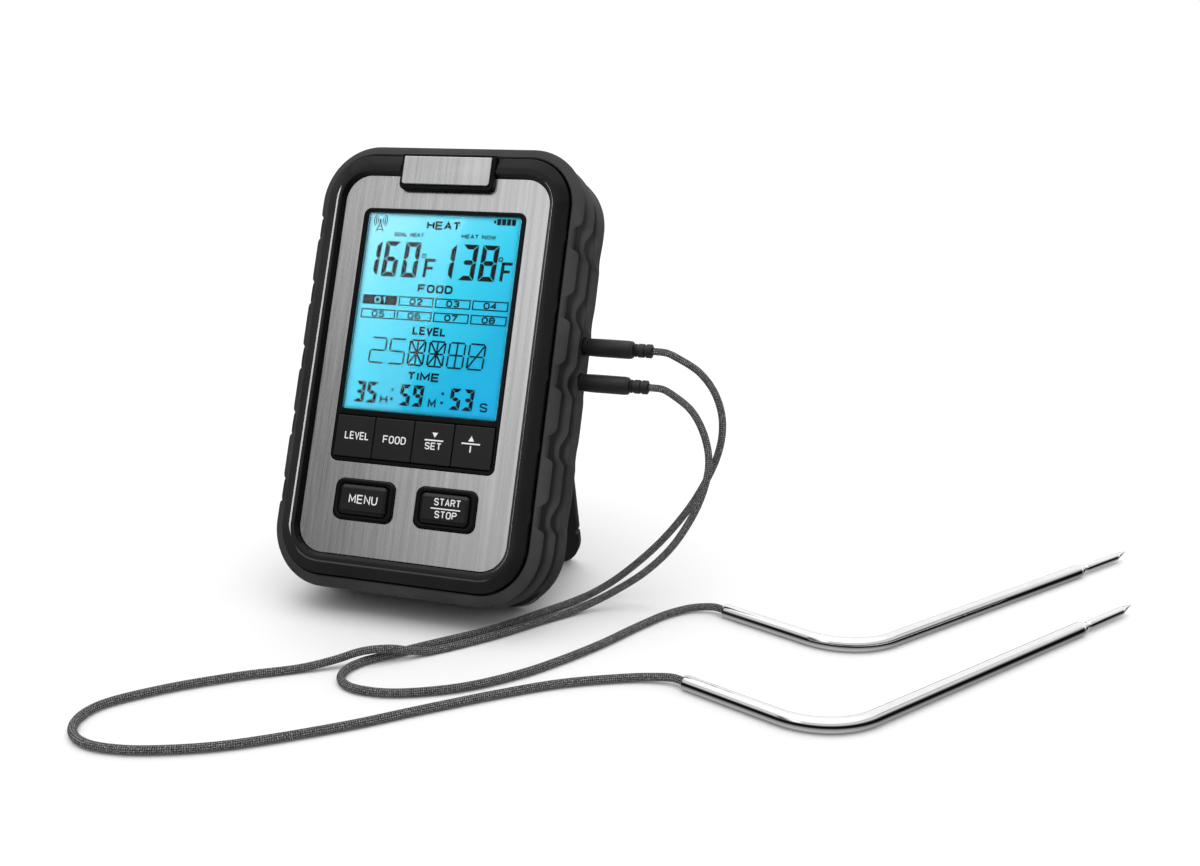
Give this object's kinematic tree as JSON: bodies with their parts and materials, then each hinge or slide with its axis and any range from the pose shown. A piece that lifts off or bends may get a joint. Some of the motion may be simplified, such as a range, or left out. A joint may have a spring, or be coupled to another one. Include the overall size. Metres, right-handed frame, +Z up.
{
  "type": "meat thermometer",
  "caption": "Lean-back digital meat thermometer with a lit display, keys, fold-out stand, and bent steel probes on braided plug-in cords.",
  "frame": {"origin": "middle of the display unit's box, leads left out, at the table it stands on", "axes": "+Z up from the table, -Y out of the display side, +X towards the sockets and probes"},
  "size_m": [0.2592, 0.2013, 0.1327],
  "materials": {
    "gloss_black": "polished black moulding",
    "key_black": "satin black moulding",
    "case_black": "fine spark-eroded texture",
    "grip_rubber": "matt soft-touch",
    "face_steel": "vertical brushed grain",
    "probe_steel": "mirror polished stainless",
    "spring_steel": "bright plated",
    "pin_brass": "gold-coloured plating",
    "cord_braid": "dark grey heat-proof braid with light flecks",
    "clear_lens": "clear polished",
    "lit_display": "cyan lit liquid-crystal cell",
    "diffuser": "milky light guide",
    "board_green": "solder-masked board",
    "silicone": "matt silicone",
    "cell_wrap": "shrink-wrapped cell label"
  },
  "bodies": {
    "housing": {"rear_shell": "case_black", "bezel": "gloss_black", "grip_sleeve": "grip_rubber", "face_plate": "face_steel", "window_frame": "key_black", "display_lens": "clear_lens", "display_glass": "lit_display", "backlight": "diffuser", "contact_strip": "silicone", "badge_holder": "gloss_black", "badge_plate": "face_steel", "keypad_mat": "silicone", "circuit_board": "board_green", "buzzer": "case_black", "antenna_coil": "spring_steel", "socket_upper": "case_black", "socket_lower": "case_black", "battery_1": "cell_wrap", "battery_2": "cell_wrap", "contact_plate_1": "spring_steel", "contact_plate_2": "spring_steel", "contact_spring_1": "spring_steel", "contact_spring_2": "spring_steel", "case_screw_1": "spring_steel", "case_screw_2": "spring_steel", "case_screw_3": "spring_steel", "case_screw_4": "spring_steel", "stand_pin": "spring_steel", "mode_collar": "key_black", "start_collar": "key_black"},
    "stand": {"stand": "case_black"},
    "battery_door": {"battery_door": "case_black"},
    "strip_key_1": {"strip_key_1": "key_black"},
    "strip_key_2": {"strip_key_2": "key_black"},
    "strip_key_3": {"strip_key_3": "key_black"},
    "strip_key_4": {"strip_key_4": "key_black"},
    "mode_key": {"mode_key": "key_black"},
    "start_key": {"start_key": "key_black"},
    "lead_upper": {"plug_upper": "case_black", "plug_pin_upper": "pin_brass", "strain_relief_upper": "grip_rubber", "cord_upper": "cord_braid", "probe_shaft_upper": "probe_steel", "probe_tip_upper": "probe_steel"},
    "lead_lower": {"plug_lower": "case_black", "plug_pin_lower": "pin_brass", "strain_relief_lower": "grip_rubber", "cord_lower": "cord_braid", "probe_shaft_lower": "probe_steel", "probe_tip_lower": "probe_steel"}
  },
  "joints": [
    {"name": "stand_fold", "type": "hinge", "parent": "housing", "child": "stand", "pos_m": [0, 0.00681, 0.05744], "axis": [1, 0, 0], "range_deg": [-39, 0]},
    {"name": "battery_door_slide", "type": "slide", "parent": "housing", "child": "battery_door", "axis": [0, 0.3971, 0.9178], "range_m": [0, 0.044]},
    {"name": "strip_key_1_press", "type": "slide", "parent": "housing", "child": "strip_key_1", "axis": [0, 0.9178, -0.3971], "range_m": [0, 0.0008], "stiffness_N_per_m": 800, "springref_m": -0.0004},
    {"name": "strip_key_2_press", "type": "slide", "parent": "housing", "child": "strip_key_2", "axis": [0, 0.9178, -0.3971], "range_m": [0, 0.0008], "stiffness_N_per_m": 800, "springref_m": -0.0004},
    {"name": "strip_key_3_press", "type": "slide", "parent": "housing", "child": "strip_key_3", "axis": [0, 0.9178, -0.3971], "range_m": [0, 0.0008], "stiffness_N_per_m": 800, "springref_m": -0.0004},
    {"name": "strip_key_4_press", "type": "slide", "parent": "housing", "child": "strip_key_4", "axis": [0, 0.9178, -0.3971], "range_m": [0, 0.0008], "stiffness_N_per_m": 800, "springref_m": -0.0004},
    {"name": "mode_key_press", "type": "slide", "parent": "housing", "child": "mode_key", "axis": [0, 0.9178, -0.3971], "range_m": [0, 0.0008], "stiffness_N_per_m": 800, "springref_m": -0.0004},
    {"name": "start_key_press", "type": "slide", "parent": "housing", "child": "start_key", "axis": [0, 0.9178, -0.3971], "range_m": [0, 0.0008], "stiffness_N_per_m": 800, "springref_m": -0.0004},
    {"name": "plug_upper_pull", "type": "slide", "parent": "housing", "child": "lead_upper", "axis": [1, 0, 0], "range_m": [0, 0.0145], "deforming": ["cord_upper"]},
    {"name": "plug_lower_pull", "type": "slide", "parent": "housing", "child": "lead_lower", "axis": [1, 0, 0], "range_m": [0, 0.0145], "deforming": ["cord_lower"]}
  ]
}
